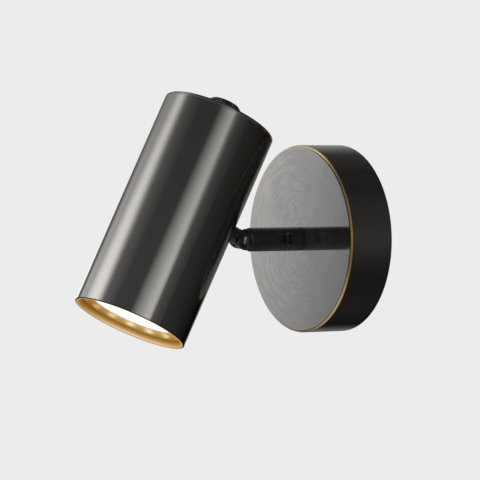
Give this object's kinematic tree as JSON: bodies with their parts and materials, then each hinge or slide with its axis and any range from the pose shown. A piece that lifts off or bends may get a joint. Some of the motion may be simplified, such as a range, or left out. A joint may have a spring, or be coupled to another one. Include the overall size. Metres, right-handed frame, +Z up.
{
  "type": "wall lamp",
  "caption": "Wall spotlight: round canopy, short arm that swivels and tilts, tube shade with a rotary switch knob on its closed end and a reflector lamp in its mouth.",
  "frame": {"origin": "centre of the canopy's back edge, on the wall, between the bracket's two slots", "axes": "+Z up; the arm leaves the wall along -Y; +X is to the right for a viewer who faces the wall"},
  "size_m": [0.1, 0.1567, 0.1337],
  "materials": {
    "canopy_metal": "brushed face, dark bronze side",
    "gunmetal": "satin gunmetal",
    "black_metal": "satin black",
    "knob_metal": "gloss black",
    "zinc": "bright zinc",
    "aluminium": "plain",
    "brass": "bright",
    "gold": "satin gold",
    "copper": "plain",
    "nylon": "plain",
    "ceramic": "glazed",
    "white_plastic": "gloss white",
    "lens": "dimpled, lit",
    "board_white": "plain",
    "board_green": "plain",
    "led_yellow": "plain",
    "brown_pvc": "plain",
    "blue_pvc": "plain",
    "earth_pvc": "plain",
    "black_pvc": "plain",
    "black_nylon": "plain"
  },
  "bodies": {
    "base": {"canopy": "canopy_metal", "wall_bracket": "zinc", "canopy_screws": "zinc", "earth_screw": "brass", "terminal_block": "nylon", "terminal_sleeves": "brass", "terminal_screws": "zinc", "block_screws": "zinc", "swivel_stud": "brass", "stud_star_washer": "zinc", "stud_nut": "zinc", "wire_bush": "nylon", "base_live_lead": "brown_pvc", "base_neutral_lead": "blue_pvc", "earth_lead": "earth_pvc", "swivel_washer": "black_nylon"},
    "arm": {"arm_sleeve": "black_metal", "stop_screw": "gunmetal", "screw_saddle": "black_metal", "friction_disc": "nylon", "arm_fork": "black_metal", "pivot_screw": "gunmetal", "pivot_nut": "gunmetal", "pivot_washers": "brass", "arm_live_lead": "brown_pvc", "arm_neutral_lead": "blue_pvc"},
    "head": {"head_lug": "black_metal", "lug_saddle": "zinc", "lug_star_washer": "zinc", "lug_nut": "zinc", "shade_tube": "gunmetal", "shade_liner": "gold", "top_cap": "gunmetal", "switch_body": "nylon", "switch_nut": "zinc", "holder_bracket": "zinc", "lampholder": "ceramic", "holder_screws": "zinc", "holder_contacts": "copper", "head_live_lead": "brown_pvc", "switched_lead": "black_pvc", "head_neutral_lead": "blue_pvc"},
    "lamp": {"lamp_housing": "white_plastic", "lamp_ring": "white_plastic", "lamp_lens": "lens", "led_board": "board_white", "led_chips": "led_yellow", "heat_spreader": "aluminium", "lamp_driver": "board_green", "lamp_pins": "zinc"},
    "knob": {"knob": "knob_metal", "switch_spindle": "zinc", "knob_screw": "zinc"}
  },
  "joints": [
    {"name": "arm_swivel", "type": "hinge", "parent": "base", "child": "arm", "pos_m": [0, -0.04, 0], "axis": [0, -1, 0], "range_deg": [-158, 158]},
    {"name": "head_tilt", "type": "hinge", "parent": "arm", "child": "head", "pos_m": [0, -0.0612, 0], "axis": [1, 0, 0], "range_deg": [-22, 69]},
    {"name": "knob_turn", "type": "hinge", "parent": "head", "child": "knob", "pos_m": [0, -0.07471, 0.06411], "axis": [0, 0.4602, 0.8878], "range_deg": [0, 90]},
    {"name": "lamp_twist", "type": "hinge", "parent": "head", "child": "lamp", "pos_m": [0, -0.09804, 0.0191], "axis": [0, 0.4602, 0.8878], "range_deg": [-25, 0]}
  ]
}
